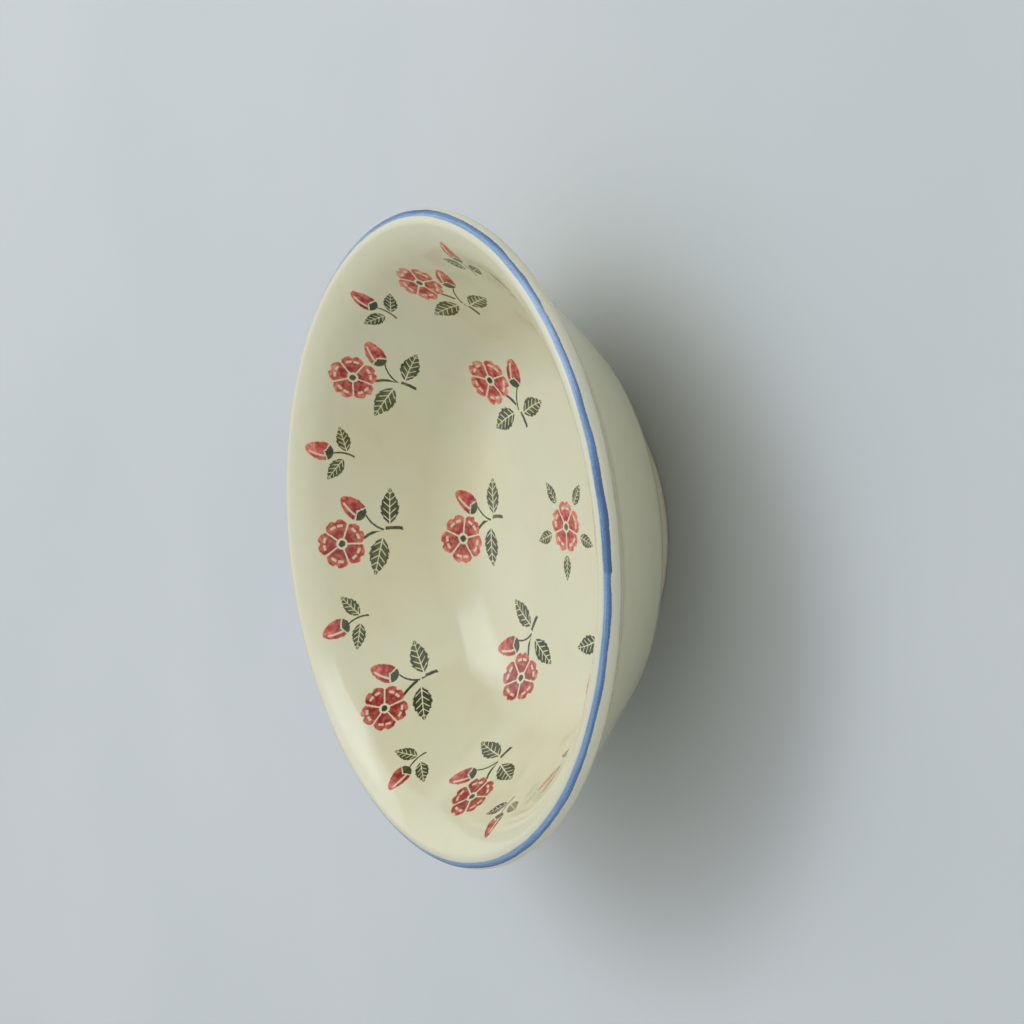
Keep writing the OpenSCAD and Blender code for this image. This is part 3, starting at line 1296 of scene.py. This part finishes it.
@dataclass(frozen=True)
class SprigInks:
    """Red blossoms and buds with olive leaves and stems, under the glaze.

    Each mark is drawn in its own frame, stored on the mesh: for a blossom or bud its radius is 1,
    and for a leaf or stem its length is 1 from its base at 0. The third stored number is the mark's
    own tone, 0 to 1.

    Attributes:
        red: Ink of the blossoms and buds.
        green: Ink of the leaves, the stems, the buds' cups and the blossoms' eyes.
        petals: Number of a blossom's petals.
        ragged_size: Length of the raggedness of the marks' edges.
        sponge_size: Length of the lighter and darker places in the ink.
    """

    red: Ink = Ink(srgb(236, 150, 128), srgb(208, 80, 64), srgb(160, 38, 32))
    green: Ink = Ink(srgb(126, 134, 56), srgb(76, 84, 14), srgb(40, 46, 3))
    petals: int = 5
    ragged_size: float = 0.8 * MM
    sponge_size: float = 1.5 * MM

    def colour(self, tree: ShaderTree, cream: Wire) -> Wire:
        """Lays the green marks and then the red ones on the cream.

        Args:
            tree: The material's tree.
            cream: The glaze's own colour.

        Returns:
            The colour.
        """
        ragged = tree.noise(self.ragged_size, 2.0) - 0.5
        sponge = tree.noise(self.sponge_size, 4.0) - 0.5
        bud_red, bud_green, bud_load = self._bud(tree, ragged)
        leaf, leaf_load = self._leaf(tree, ragged)
        stem = self._stem(tree, ragged)
        petal, eye, petal_load = self._blossom(tree, ragged)
        patchy = sponge * 1.5
        green = leaf.most(stem).most(bud_green).most(eye)
        colour = tree.mix(cream, self.green.colour(tree, leaf_load + patchy), green * 0.96)
        petal_ink = self.red.colour(tree, petal_load + patchy)
        bud_ink = self.red.colour(tree, bud_load + patchy)
        red = tree.mix(petal_ink, bud_ink, bud_red.soft(0, 0.2))
        return tree.mix(colour, red, petal.most(bud_red) * (sponge * 0.5 + 0.95))

    def _blossom(self, tree: ShaderTree, ragged: Wire) -> tuple[Wire, Wire, Wire]:
        """Petals whose edge swells and dips with the angle, parted by thin gaps round a small eye.

        Args:
            tree: The material's tree.
            ragged: Noise for the edges.

        Returns:
            Where the petals are, where the eye is, and how much ink the petals hold.
        """
        u, v, tone = tree.stored_three("blossom")
        far = (u * u + v * v) ** 0.5
        turns = v.math("ARCTAN2", u) * (self.petals / (2 * math.pi))
        side = abs(turns - turns.math("ROUND")) * 2
        rim = (side * side).flipped().most(0) ** 0.5 * 0.30 - side.soft(0.26, 0.0) * 0.10 + 0.70
        gap = side.flipped() * far * (math.pi / self.petals) + ragged * 0.05
        inside = (rim - far + ragged * 0.10).soft(-0.02, 0.03)
        petal = inside * gap.soft(0.015, 0.05) * (far + ragged * 0.08).soft(0.20, 0.25)
        eye = (far + ragged * 0.10).soft(0.15, 0.11)
        light = abs(far - 0.72).soft(0.075, 0.03) * side.soft(0.66, 0.5)
        light = light * (side - 0.02).soft(0.0, 0.12)
        load = far.soft(1.0, 0.3) * 0.5 + tone * 0.4 + 0.25
        return petal * (light * 0.88).flipped(), eye, load

    def _bud(self, tree: ShaderTree, ragged: Wire) -> tuple[Wire, Wire, Wire]:
        """An egg-shaped bud with a pale streak, in a small green cup.

        Args:
            tree: The material's tree.
            ragged: Noise for the edges.

        Returns:
            Where the red is, where the green is, and how much ink the red holds.
        """
        u, v, tone = tree.stored_three("bud")
        width = (u * u).flipped().most(0) ** 0.5 * (u * -0.16 + 0.62)
        egg = (width - abs(v) + ragged * 0.16).soft(-0.03, 0.05) * abs(u).soft(1.03, 0.95)
        streak = abs(v - width * 0.45).soft(0.10, 0.04) * abs(u - 0.1).soft(0.62, 0.5)
        cup = (u + abs(v) * 0.5 + ragged * 0.2).soft(-0.40, -0.46) * egg
        red = egg * (u + abs(v) * 0.5 + ragged * 0.2).soft(-0.38, -0.28) * (streak * 0.9).flipped()
        return red, cup, u.soft(0.8, -0.6) * 0.45 + tone * 0.4 + 0.25

    def _leaf(self, tree: ShaderTree, ragged: Wire) -> tuple[Wire, Wire]:
        """A pointed leaf with toothed sides, a pale midrib and pale side veins.

        Args:
            tree: The material's tree.
            ragged: Noise for the edges.

        Returns:
            Where the leaf is and how much ink it holds.
        """
        u, v, tone = tree.stored_three("leaf")
        within = u.soft(0.0, 0.02) * u.soft(1.0, 0.97)
        along = u.most(0).least(1)
        tooth = (along * 6.0).math("FRACT") * 0.16 + 0.92
        width = (along**0.8 * math.pi).math("SINE") * 0.25 * tooth
        side = abs(v)
        blade = (width - side + ragged * 0.05).soft(-0.012, 0.018)
        rib = (side + along * 0.012).soft(0.012, 0.026)
        vein = abs(((along - side * 0.9) * 5.5).math("FRACT") - 0.5)
        branch = (vein + ragged * 0.12).soft(0.05, 0.12).most(side.soft(0.15, 0.19))
        load = tone * 0.4 + side.soft(0.02, 0.2) * 0.35 + 0.3
        return blade * rib * branch * within, load

    def _stem(self, tree: ShaderTree, ragged: Wire) -> Wire:
        """A narrow stroke along a shallow parabola that tapers to its tip.

        Args:
            tree: The material's tree.
            ragged: Noise for the edges.

        Returns:
            Where the stem is.
        """
        u, v, _ = tree.stored_three("stem")
        bow = u * u.flipped() * 0.42
        stroke = (abs(v - bow) + u * 0.012 + ragged * 0.03).soft(0.056, 0.034)
        return stroke * u.soft(-0.01, 0.02) * u.soft(1.01, 0.98)


# ---------------------------------------------------------------------------
# Printed sprigs
# ---------------------------------------------------------------------------


class Mark(Enum):
    """Kinds of mark in a sprig, by the name that its frame has on the mesh."""

    BLOSSOM = "blossom"
    BUD = "bud"
    LEAF = "leaf"
    STEM = "stem"

    @property
    def is_round(self) -> bool:
        """Whether the mark's frame starts at its middle and not at its base."""
        return self in (Mark.BLOSSOM, Mark.BUD)


@dataclass(frozen=True)
class Dab:
    """One mark of a sprig.

    Attributes:
        mark: What it is.
        x: Place of its origin to the right of the sprig's middle.
        y: Place of its origin towards the rim.
        turn: Direction of its axis, from right towards the rim.
        size: Radius of a blossom, half the length of a bud, or length of a leaf or stem.
        flip: -1 to bend it the other way.
    """

    mark: Mark
    x: float
    y: float
    turn: float
    size: float
    flip: int = 1


def sprig_dabs() -> tuple[Dab, ...]:
    """A blossom and a bud on two stems with two leaves.

    Returns:
        The marks.
    """
    return (
        Dab(Mark.BLOSSOM, -2.5 * MM, 6.0 * MM, 90, 7.0 * MM),
        Dab(Mark.BUD, 7.6 * MM, 3.0 * MM, 52, 4.3 * MM),
        Dab(Mark.STEM, 1.6 * MM, -11.4 * MM, 104, 11.6 * MM, -1),
        Dab(Mark.STEM, 1.3 * MM, -6.0 * MM, 52, 6.6 * MM),
        Dab(Mark.LEAF, -0.9 * MM, -5.6 * MM, 165, 11.0 * MM),
        Dab(Mark.LEAF, 2.8 * MM, -7.6 * MM, 2, 10.4 * MM, -1),
    )


def twig_dabs() -> tuple[Dab, ...]:
    """A bud on a short stem between two small leaves.

    Returns:
        The marks.
    """
    return (
        Dab(Mark.BUD, 0.0, 4.0 * MM, 92, 4.2 * MM),
        Dab(Mark.STEM, 0.4 * MM, -6.2 * MM, 94, 6.6 * MM, -1),
        Dab(Mark.LEAF, -0.9 * MM, -3.2 * MM, 152, 7.8 * MM),
        Dab(Mark.LEAF, 1.4 * MM, -3.8 * MM, 28, 7.8 * MM, -1),
    )


def rosette_dabs() -> tuple[Dab, ...]:
    """A blossom in a ring of small leaves that point between its petals.

    Returns:
        The marks.
    """
    step = 360 // ROSETTE_LEAVES
    ways = 90 + step // 2 + step * np.arange(ROSETTE_LEAVES)
    leaves = (Dab(Mark.LEAF, *(7.4 * MM * unit(way)), float(way), 7.0 * MM) for way in ways)
    return (Dab(Mark.BLOSSOM, 0.0, 0.0, 90, 7.0 * MM), *leaves)


@dataclass(frozen=True)
class SprigRing:
    """A ring of equal sprigs round the inside of the bowl.

    Attributes:
        dabs: The sprig's marks.
        count: Number of sprigs.
        run: Length along the glaze from the middle of the floor to the sprigs' middles.
        first: Angle of the first sprig.
        sway: Largest turn of a sprig out of line, either way.
        stray: Largest step of a sprig out of place, either way.
    """

    dabs: tuple[Dab, ...]
    count: int
    run: float
    first: float
    sway: float = 7.0
    stray: float = 1.2 * MM


@dataclass
class SprigPrint:
    """The printed design: rings of sprigs with their heads towards the rim.

    A place on the inside is given by its run, the length along the glaze from the middle of the
    floor, and its angle. Near a mark, the step towards the rim is the difference of the runs, and
    the step to the right is the difference of the angles times the radius there. Close to the
    middle of the floor, which is nearly flat, both are steps in the plane.

    Attributes:
        rings: The rings of sprigs.
        flat_run: Run within which a mark counts as close to the middle.
        tone_spread: Largest difference of a mark's tone from its sprig's, either way.
        seed: Seed of the sprigs' turns, steps and tones.
    """

    rings: tuple[SprigRing, ...] = (
        SprigRing(rosette_dabs(), 1, 0.0, 0.0, stray=0.0),
        SprigRing(sprig_dabs(), 6, 41 * MM, 26.0),
        SprigRing(sprig_dabs(), 9, 75 * MM, 8.0),
        SprigRing(twig_dabs(), 9, 84 * MM, 28.0),
    )
    flat_run: float = 22 * MM
    tone_spread: float = 0.35
    seed: int = 11

    def store(self, mesh: bpy.types.Mesh, shape: Turned, run: np.ndarray) -> None:
        """Stores each mark's frame on the corners of the faces nearest to it.

        Args:
            mesh: The inside coat's mesh.
            shape: The shape that the mesh was made from.
            run: Length along the glaze from the middle of the floor to each station.
        """
        radius = shape.at[shape.skin, 0]
        station = shape.station[shape.row]
        corner = np.stack([run[station], shape.angle, radius[station]])
        starts, sides = shape.faces(mesh)
        middle = np.add.reduceat(corner, starts, axis=1) / sides
        for mark, dabs in self._laid(run, radius).items():
            seen = self._frame(middle[:, None], dabs[..., None])
            nearest = self._gap(mark, seen, dabs[3][:, None]).argmin(0)
            own = np.repeat(dabs[:, nearest], sides, axis=1)
            u, v = self._frame(corner, own)
            set_values(mesh, mark.value, np.stack([u, v, own[5]], -1))
        log.info("%d sprigs printed inside", sum(ring.count for ring in self.rings))

    def _laid(self, run: np.ndarray, radius: np.ndarray) -> dict[Mark, np.ndarray]:
        """Lays out every mark of every sprig.

        Args:
            run: Length along the glaze at each row of the skin.
            radius: Radius at each row.

        Returns:
            For each kind of mark its run, angle, turn, size, flip and tone, (6, marks).
        """
        dice = np.random.default_rng(self.seed)
        laid: dict[Mark, list[tuple[float, ...]]] = {mark: [] for mark in Mark}
        for ring in self.rings:
            for k in range(ring.count):
                turn = math.radians(dice.uniform(-ring.sway, ring.sway))
                slip, lift = dice.uniform(-ring.stray, ring.stray, 2)
                angle = math.radians(ring.first + 360 * k / ring.count)
                tone = dice.uniform(0, 1)
                for dab in ring.dabs:
                    x = dab.x * math.cos(turn) - dab.y * math.sin(turn) + slip
                    y = dab.x * math.sin(turn) + dab.y * math.cos(turn) + lift
                    up, way = ring.run + y, math.radians(dab.turn) + turn
                    if ring.run < self.flat_run:
                        place = (math.hypot(x, up), angle - math.atan2(x, up))
                        way = way + angle - place[1]
                    else:
                        place = (up, angle - x / float(np.interp(up, run, radius)))
                    shade = tone + dice.uniform(-self.tone_spread, self.tone_spread)
                    shade = min(1.0, max(0.0, shade))
                    laid[dab.mark].append((*place, way, dab.size, float(dab.flip), shade))
        return {mark: np.array(rows).T for mark, rows in laid.items()}

    def _frame(self, place: np.ndarray, dabs: np.ndarray) -> np.ndarray:
        """Places in the marks' own frames.

        Args:
            place: Run, angle and radius of the places, (3, ...).
            dabs: The marks' values as from _laid, (6, ...), for each place or for all of them.

        Returns:
            The two coordinates in the marks' sizes, (2, ...).
        """
        run, angle, radius = place
        run_0, angle_0, way, size, flip, _ = dabs
        apart = (angle_0 - angle + np.pi) % (2 * np.pi) - np.pi
        near = run_0 < self.flat_run
        right = np.where(near, run * np.sin(apart), apart * radius)
        up = np.where(near, run * np.cos(apart), run) - run_0
        u = (right * np.cos(way) + up * np.sin(way)) / size
        v = (up * np.cos(way) - right * np.sin(way)) / size * flip
        return np.stack([u, v])

    @staticmethod
    def _gap(mark: Mark, seen: np.ndarray, size: np.ndarray) -> np.ndarray:
        """Distance from places to a mark's middle or axis, less its radius.

        Args:
            mark: The kind of mark.
            seen: The places in the marks' frames, (2, marks, places).
            size: The marks' sizes, (marks, 1).

        Returns:
            The distances, (marks, places).
        """
        u, v = seen
        if mark.is_round:
            return (np.hypot(u, v) - 1) * size
        return np.hypot(u - np.clip(u, 0, 1), v) * size


# ---------------------------------------------------------------------------
# The bowl
# ---------------------------------------------------------------------------


@dataclass
class Bowl:
    """The bowl: fired clay, three coats of cream glaze and a blue band.

    Attributes:
        section: Its section.
        uneven: Its waviness.
        glaze: Finish of the cream coats.
        paint: Finish of the band.
        clay: Finish of the bare clay.
        inks: Colours of the printed design.
        design: The printed design.
        full_bend: Curvature at which glaze pools, or thins, fully, and at which the painted shade,
            or highlight, is full.
    """

    section: Section = field(default_factory=Section)
    uneven: Unevenness = Unevenness()
    glaze: CreamGlaze = CreamGlaze()
    paint: BandPaint = BandPaint()
    clay: BareClay = BareClay()
    inks: SprigInks = SprigInks()
    design: SprigPrint = field(default_factory=SprigPrint)
    full_bend: float = 1 / (2.0 * MM)

    def build(self) -> None:
        """Makes the five pieces and dresses them."""
        whole = self.section.whole
        station = np.arange(len(whole.bend))
        body = Turned(whole.at, whole.out, station, station >= 0, self.uneven)
        place_piece(body.mesh("clay_body"), "clay_body", self.clay.material("bare clay"))
        self._inside()
        self._band()
        plain = {"outside_glaze": self.section.outside, "underside_glaze": self.section.underside}
        for node, strip in plain.items():
            mesh, _ = self._coat(node, strip)
            place_piece(mesh, node, self.glaze.material(f"cream {node}"))

    def _coat(self, node: str, strip: Strip) -> tuple[bpy.types.Mesh, Turned]:
        """Makes a coat and stores where its glaze pools and thins, which also places painted shade
        in hollows and a painted highlight on edges.

        Args:
            node: The coat's node.
            strip: The stretch of the section under it.

        Returns:
            The mesh and the shape that it was made from.
        """
        shape = Turned.coat(strip, self.section.glaze_t, self.uneven)
        mesh = shape.mesh(node)
        bend = strip.bend[shape.station[shape.row]] / self.full_bend
        # Painted shade and pooled glaze where the clay is hollow.
        set_values(mesh, "pool_and_shade", np.clip(-bend, 0, 1))
        # Painted highlight and thinned glaze where the clay is convex.
        set_values(mesh, "thin_and_highlight", np.clip(bend, 0, 1))
        return mesh, shape

    def _inside(self) -> None:
        """Makes the inside coat with its printed design."""
        mesh, shape = self._coat("inside_glaze", self.section.inside)
        run = self.section.inside.run(self.section.glaze_t)
        self.design.store(mesh, shape, run)
        shape.lay_flat(mesh, run)
        tree = ShaderTree("cream glaze with sprigs")
        colour = self.inks.colour(tree, self.glaze.colour(tree))
        place_piece(mesh, "inside_glaze", self.glaze.finish(tree, colour))

    def _band(self) -> None:
        """Makes the band, with the share of its width stored across it."""
        mesh, shape = self._coat("rim_band", self.section.band)
        run = self.section.band.run(self.section.glaze_t)
        set_values(mesh, "across", run[shape.station[shape.row]] / run[-1])
        tree = ShaderTree("blue band")
        colour = self.paint.colour(tree, self.glaze.colour(tree))
        place_piece(mesh, "rim_band", self.glaze.finish(tree, colour))


# ---------------------------------------------------------------------------
# The studio
# ---------------------------------------------------------------------------


@dataclass(frozen=True)
class Softbox:
    """A large soft lamp that faces the bowl.

    Attributes:
        name: Its name.
        way: Direction from the bowl to it.
        distance: Distance from the bowl.
        width: Width of its face.
        height: Height of its face.
        power: Power in watts, before the fading.
        fade: Shares of the width, from the left and the right, and of the height, from below and
            above, over which the light of the face fades towards its edges.
        tint: Colour of its light.
    """

    name: str
    way: tuple[float, float, float]
    distance: float
    width: float
    height: float
    power: float
    fade: tuple[float, float, float, float] = (0.1, 0.1, 0.1, 0.1)
    tint: tuple[float, float, float] = (1.0, 1.0, 1.0)

    def hang(self, target: Vector) -> None:
        """Hangs the lamp so that it faces the target.

        Args:
            target: The place that it faces.
        """
        lamp = bpy.data.lights.new(self.name, "AREA")
        lamp.shape, lamp.size, lamp.size_y = "RECTANGLE", self.width, self.height
        lamp.energy, lamp.color = self.power, self.tint
        lamp.use_nodes = True
        tree = NodeTree(lamp.node_tree)
        face = tree.nodes.new("ShaderNodeNewGeometry").outputs["Parametric"]
        across, up, _ = tree.split(Wire(tree, face))
        left, right, below, above = self.fade
        glow = across.soft(0, left) * across.soft(1, 1 - right)
        glow = glow * up.soft(0, below) * up.soft(1, 1 - above)
        tree.feed(tree.nodes["Emission"].inputs["Strength"], glow)
        holder = put(self.name, lamp)
        way = Vector(self.way).normalized()
        holder.location = target + way * self.distance
        holder.rotation_mode = "QUATERNION"
        holder.rotation_quaternion = way.to_track_quat("Z", "Y")
        holder.visible_camera = False
        log.info("%s hung %.2f m away", self.name, self.distance)


@dataclass(frozen=True)
class ViewPoint:
    """The camera, which sees the bowl as the photograph does.

    Attributes:
        elevation: Height of the view above the rim's plane.
        roll: Turn of the picture.
        distance: Distance to the middle of the rim along the view.
        focal_px: Focal length in pixels of the picture.
        picture_px: Width and height of the picture in pixels.
        rim_px: Where the middle of the rim appears.
        sensor: Width of the camera's sensor in millimetres.
        clip: Nearest and farthest distance that it sees.
    """

    elevation: float = 30.118
    roll: float = 95.641
    distance: float = 0.76882
    focal_px: float = 3000.0
    picture_px: float = 1024.0
    rim_px: tuple[float, float] = (429.23, 540.98)
    sensor: float = 36.0
    clip: tuple[float, float] = (0.01, 20.0)

    def set_up(self, rim: Vector) -> None:
        """Makes the camera: the bowl's axes as the picture has them, turned about the sight line.

        Args:
            rim: Middle of the rim.
        """
        e, t = math.radians(self.elevation), math.radians(self.roll)
        turn = Matrix(((math.cos(t), math.sin(t), 0), (-math.sin(t), math.cos(t), 0), (0, 0, 1)))
        up = Vector((0, -math.cos(e), -math.sin(e)))
        side = Vector((1, 0, 0))
        axes = turn @ Matrix((side, up.cross(side), up)).transposed()
        half = self.picture_px / 2
        off = ((p - half) / self.focal_px * self.distance for p in self.rim_px)
        seen = Vector((*off, self.distance))
        camera = bpy.data.cameras.new("view")
        camera.sensor_width = self.sensor
        camera.lens = self.focal_px / self.picture_px * self.sensor
        camera.clip_start, camera.clip_end = self.clip
        holder = put("view", camera)
        right, down, ahead = axes
        place = rim - axes.transposed() @ seen
        turned = Matrix((right, -down, -ahead)).transposed()
        holder.matrix_world = Matrix.Translation(place) @ turned.to_4x4()
        bpy.context.scene.camera = holder


@dataclass
class Studio:
    """A pale floor that curves up into a round wall, soft lamps and the camera.

    Attributes:
        floor_r: Radius of the flat part of the floor.
        curve_r: Radius of the curve from it to the wall.
        wall_h: Height of the wall above the curve.
        columns: Steps of the floor round the axis.
        flat_steps: Steps of the floor along its flat part.
        curve_steps: Steps of the floor along the curve.
        pale: Colour of most of the floor.
        shade: Colour of its duller places.
        shade_size: Length of these places.
        roughness: Roughness of the floor.
        sky: Colour of the light from all round.
        sky_strength: Strength of this light.
        sky_lean: How much brighter it is towards +x, +y and +z.
        lamps: The lamps.
        view: The camera.
    """

    floor_r: float = 2.2
    curve_r: float = 0.9
    wall_h: float = 1.6
    columns: int = 96
    flat_steps: int = 23
    curve_steps: int = 24
    pale: Colour = srgb(212, 215, 215)
    shade: Colour = srgb(206, 210, 211)
    shade_size: float = 0.25
    roughness: float = 0.75
    sky: Colour = srgb(246, 248, 252)
    sky_strength: float = 0.74
    sky_lean: tuple[float, float, float] = (0.90, 0.0, 0.10)
    lamps: tuple[Softbox, ...] = (
        Softbox(
            name="key softbox",
            way=(0.2825, 0.6346, 0.7193),
            distance=1.25,
            width=1.80,
            height=1.75,
            power=6.5,
            fade=(0.05, 0.45, 0.05, 0.50),
        ),
        Softbox(
            name="high softbox",
            way=(0.465, 0.252, 0.85),
            distance=1.20,
            width=1.00,
            height=0.72,
            power=5.8,
            fade=(0.06, 0.40, 0.30, 0.30),
            tint=(0.84, 0.92, 1.0),
        ),
        Softbox(
            name="front softbox",
            way=(0.15, -0.95, 0.20),
            distance=1.40,
            width=1.00,
            height=0.60,
            power=2.0,
        ),
    )
    view: ViewPoint = ViewPoint()

    def build(self, rim: Vector) -> None:
        """Makes the floor, the lamps, the light from all round and the camera.

        Args:
            rim: Middle of the bowl's rim.
        """
        self._floor()
        for lamp in self.lamps:
            lamp.hang(rim)
        self._sky()
        bpy.context.scene.view_settings.view_transform = "Standard"
        self.view.set_up(rim)

    def _sky(self) -> None:
        """Lights from all round: the strength times one plus the direction's step on the lean."""
        world = bpy.data.worlds.new("studio")
        world.use_nodes = True
        tree = NodeTree(world.node_tree)
        way = tree.nodes.new("ShaderNodeTexCoord").outputs["Generated"]
        x, y, z = tree.split(Wire(tree, way))
        lean_x, lean_y, lean_z = self.sky_lean
        glow = (x * lean_x + y * lean_y + z * lean_z + 1) * self.sky_strength
        ground = tree.nodes["Background"]
        ground.inputs["Color"].default_value = self.sky
        tree.feed(ground.inputs["Strength"], glow.most(0))
        bpy.context.scene.world = world

    def _floor_mesh(self) -> bpy.types.Mesh:
        """Makes a flat disc, a quarter circle up from its edge and a wall, carried round the axis.

        Returns:
            The floor's mesh.
        """
        bend = np.radians(np.linspace(-90, 0, self.curve_steps + 1))
        flat = np.linspace(0, self.floor_r, self.flat_steps + 1)[:-1]
        out = np.concatenate([flat, self.floor_r + self.curve_r * np.cos(bend)])
        up = np.concatenate([np.zeros_like(flat), self.curve_r * (1 + np.sin(bend))])
        profile = np.stack([np.append(out, out[-1]), np.append(up, up[-1] + self.wall_h)], -1)
        rings = carried(profile, self.columns)
        places = np.concatenate([rings[:1, 0], rings[1:].reshape(-1, 3)])
        i, j = np.meshgrid(np.arange(len(rings) - 2), np.arange(self.columns), indexing="ij")
        near, far, k = i * self.columns + 1, (i + 1) * self.columns + 1, (j + 1) % self.columns
        faces = np.stack([near + j, far + j, far + k, near + k], -1).reshape(-1, 4)
        fan = np.stack([np.zeros_like(j[0]), j[0] + 1, k[0] + 1], 1)
        mesh = bpy.data.meshes.new("floor")
        mesh.from_pydata(places, [], [*fan.tolist(), *faces.tolist()])
        mesh.shade_smooth()
        return mesh

    def _floor(self) -> None:
        """Lays the floor and gives it its finish."""
        mesh = self._floor_mesh()
        tree = ShaderTree("pale floor")
        dull = tree.noise(self.shade_size, 3.0).soft(0.3, 0.7)
        tree.dress(tree.mix(self.pale, self.shade, dull), self.roughness)
        mesh.materials.append(tree.material)
        floor = put("floor", mesh)


def main() -> None:
    """Builds the bowl and the studio."""
    logging.basicConfig(level=logging.INFO, format="%(name)s: %(message)s")
    bowl = Bowl()
    bowl.build()
    Studio().build(Vector((0, 0, bowl.section.bowl_h)))


if __name__ == "__main__":
    main()
